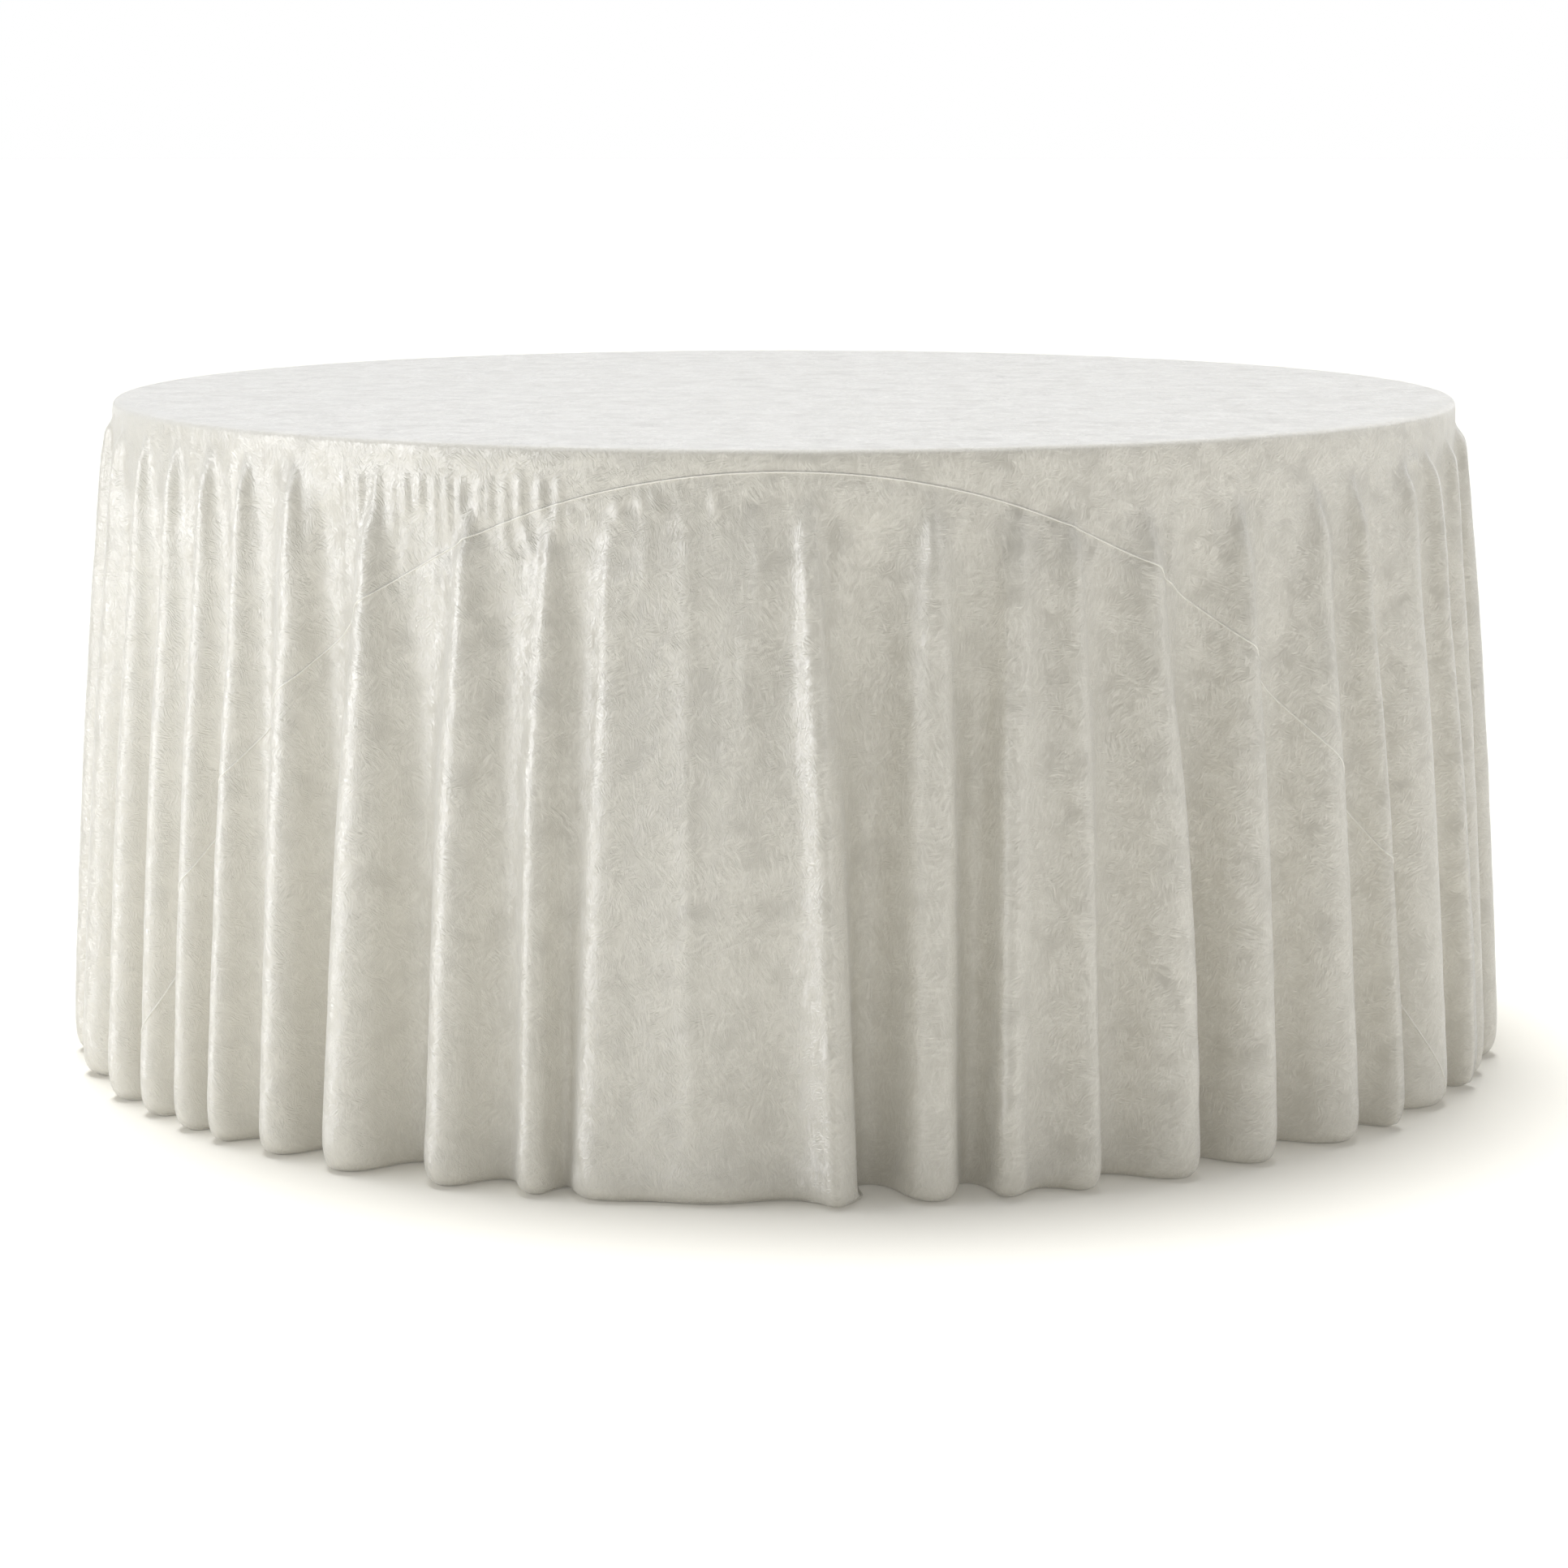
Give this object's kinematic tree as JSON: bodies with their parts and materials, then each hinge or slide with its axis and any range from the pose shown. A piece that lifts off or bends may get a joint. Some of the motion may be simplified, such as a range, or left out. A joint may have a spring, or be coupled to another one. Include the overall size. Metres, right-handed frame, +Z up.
{
  "type": "tablecloth on a table",
  "caption": "Floor-length round velvet tablecloth with two curved seams, draped in deep folds over a round folding table with hinged tubular legs.",
  "frame": {"origin": "on the floor under the centre of the table, at the centre of the bottom of the bounding box", "axes": "+Z up, -Y to the front, +X to the right seen from the front; the seams run along X"},
  "size_m": [1.6432, 1.6432, 0.7418],
  "materials": {
    "velvet": "crushed velvet, ivory",
    "seam": "sewn velvet seam, ivory",
    "moulded_plastic": "fine pebble texture, off-white",
    "painted_steel": "hammered grey powder coat",
    "zinc": "zinc plated",
    "black_plastic": "matt black",
    "nylon": "natural nylon",
    "rubber": "matt black rubber"
  },
  "bodies": {
    "table": {"table_top": "moulded_plastic", "underside": "moulded_plastic", "front_rail": "painted_steel", "back_rail": "painted_steel", "rail_caps": "black_plastic", "rail_screws": "zinc", "hinge_brackets": "zinc", "hinge_bolts": "zinc", "brace_brackets": "zinc", "brace_rivets": "zinc", "bracket_screws": "zinc"},
    "cloth": {"centre_panel": "velvet", "front_panel": "velvet", "back_panel": "velvet", "front_seam": "seam", "back_seam": "seam", "hem": "velvet"},
    "left_legs": {"left_axle": "painted_steel", "left_bushes": "nylon", "left_leg_tubes": "painted_steel", "left_cross_bars": "painted_steel", "left_feet": "rubber", "left_brace_pins": "zinc"},
    "right_legs": {"right_axle": "painted_steel", "right_bushes": "nylon", "right_leg_tubes": "painted_steel", "right_cross_bars": "painted_steel", "right_feet": "rubber", "right_brace_pins": "zinc"},
    "left_upper_brace": {"left_upper_links": "zinc", "left_knee_rivets": "zinc"},
    "left_lower_brace": {"left_lower_links": "zinc"},
    "right_upper_brace": {"right_upper_links": "zinc", "right_knee_rivets": "zinc"},
    "right_lower_brace": {"right_lower_links": "zinc"}
  },
  "joints": [
    {"name": "cloth_lift", "type": "slide", "parent": "table", "child": "cloth", "axis": [0, 0, 1], "range_m": [0, 0.8]},
    {"name": "left_leg_fold", "type": "hinge", "parent": "table", "child": "left_legs", "pos_m": [-0.48, 0, 0.678], "axis": [0, -1, 0], "range_deg": [0, 94]},
    {"name": "left_upper_brace_turn", "type": "hinge", "parent": "table", "child": "left_upper_brace", "pos_m": [-0.13, 0, 0.678], "axis": [0, -1, 0], "range_deg": [-34.18, 0]},
    {"name": "left_lower_brace_turn", "type": "hinge", "parent": "left_legs", "child": "left_lower_brace", "pos_m": [-0.49744, 0, 0.42861], "axis": [0, -1, 0], "range_deg": [0, 51.84]},
    {"name": "right_leg_fold", "type": "hinge", "parent": "table", "child": "right_legs", "pos_m": [0.48, 0, 0.682], "axis": [0, 1, 0], "range_deg": [0, 94]},
    {"name": "right_upper_brace_turn", "type": "hinge", "parent": "table", "child": "right_upper_brace", "pos_m": [0.13, 0, 0.682], "axis": [0, 1, 0], "range_deg": [-34.18, 0]},
    {"name": "right_lower_brace_turn", "type": "hinge", "parent": "right_legs", "child": "right_lower_brace", "pos_m": [0.49744, 0, 0.43261], "axis": [0, 1, 0], "range_deg": [0, 51.84]}
  ],
  "couplings": [
    {"joint": "left_upper_brace_turn", "follows": "left_leg_fold", "ratio": -0.36347},
    {"joint": "left_lower_brace_turn", "follows": "left_leg_fold", "ratio": 0.55143},
    {"joint": "right_upper_brace_turn", "follows": "right_leg_fold", "ratio": -0.36347},
    {"joint": "right_lower_brace_turn", "follows": "right_leg_fold", "ratio": 0.55143}
  ]
}
